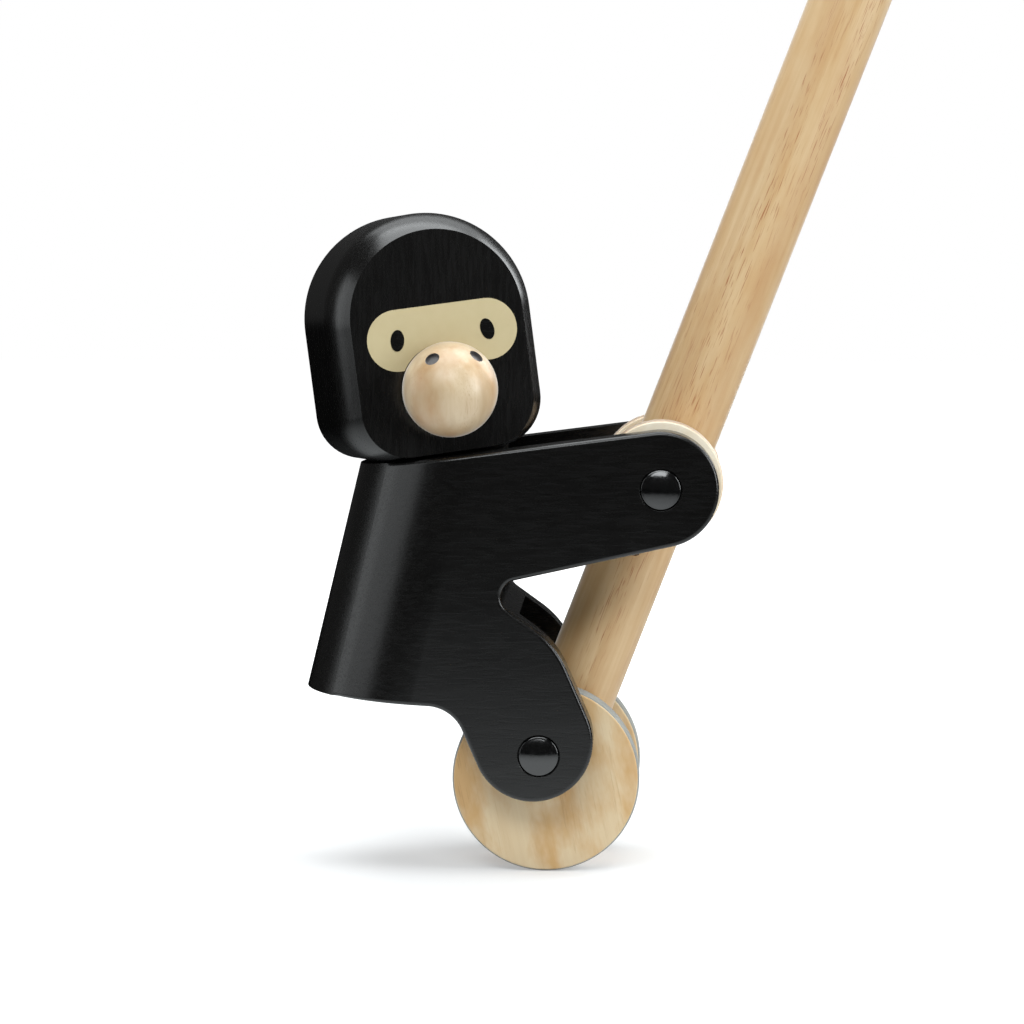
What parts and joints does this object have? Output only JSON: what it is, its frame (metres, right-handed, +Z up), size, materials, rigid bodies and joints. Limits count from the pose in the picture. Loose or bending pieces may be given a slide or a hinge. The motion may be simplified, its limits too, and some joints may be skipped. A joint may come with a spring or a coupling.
{
  "type": "push along toy with rocking animal",
  "caption": "Black wooden gorilla pegged to two wheels on a slotted push stick: it rocks and slides on the stick as the wheels turn, and its head swivels",
  "frame": {"origin": "on the floor under the wheels' axle, midway between the two wheels", "axes": "+Z up, +X the way the gorilla walks and the stick leans, +Y to the gorilla's left along the axle"},
  "size_m": [0.2652, 0.0689, 0.5157],
  "materials": {
    "stick_wood": "bare sanded wood with brown pore streaks along the grain",
    "wheel_wood": "bare sanded wood",
    "pale_wood": "pale bare sanded wood",
    "black_paint": "satin black paint on wood, with a pale mask and two black eyes painted on the head",
    "black_cap": "glossy black",
    "grey_rubber": "matte grey rubber",
    "steel": "plain steel pin"
  },
  "bodies": {
    "push_handle": {"push_stick": "stick_wood", "stick_knob": "stick_wood"},
    "wheelset": {"axle": "pale_wood", "wheel_right": "wheel_wood", "wheel_left": "wheel_wood", "tyre_right": "grey_rubber", "tyre_left": "grey_rubber"},
    "arm_slide": {"arm_pin": "steel", "spacer_disc_right": "pale_wood", "spacer_disc_left": "pale_wood", "arm_cap_right": "black_cap", "arm_cap_left": "black_cap"},
    "gorilla": {"side_board_right": "black_paint", "side_board_left": "black_paint", "torso_core": "black_paint", "leg_peg_right": "black_cap", "leg_peg_left": "black_cap", "neck_lock_pin": "steel"},
    "head_unit": {"head": "black_paint", "neck_dowel": "pale_wood", "nose_ball": "pale_wood", "nose_dowel": "pale_wood"}
  },
  "joints": [
    {"name": "wheels_turn", "type": "hinge", "parent": "push_handle", "child": "wheelset", "pos_m": [0, 0, 0.0238], "axis": [0, 1, 0], "continuous": true},
    {"name": "pin_slides", "type": "slide", "parent": "push_handle", "child": "arm_slide", "axis": [0.3616, 0, 0.9323], "range_m": [-0.0139, 0.00129]},
    {"name": "gorilla_rocks", "type": "hinge", "parent": "arm_slide", "child": "gorilla", "pos_m": [0.02893, 0, 0.09839], "axis": [0, -1, 0], "range_deg": [-2.75, 9.08]},
    {"name": "head_turns", "type": "hinge", "parent": "gorilla", "child": "head_unit", "pos_m": [-0.02965, 0, 0.10547], "axis": [-0.1276, 0, 0.9918], "continuous": true}
  ]
}
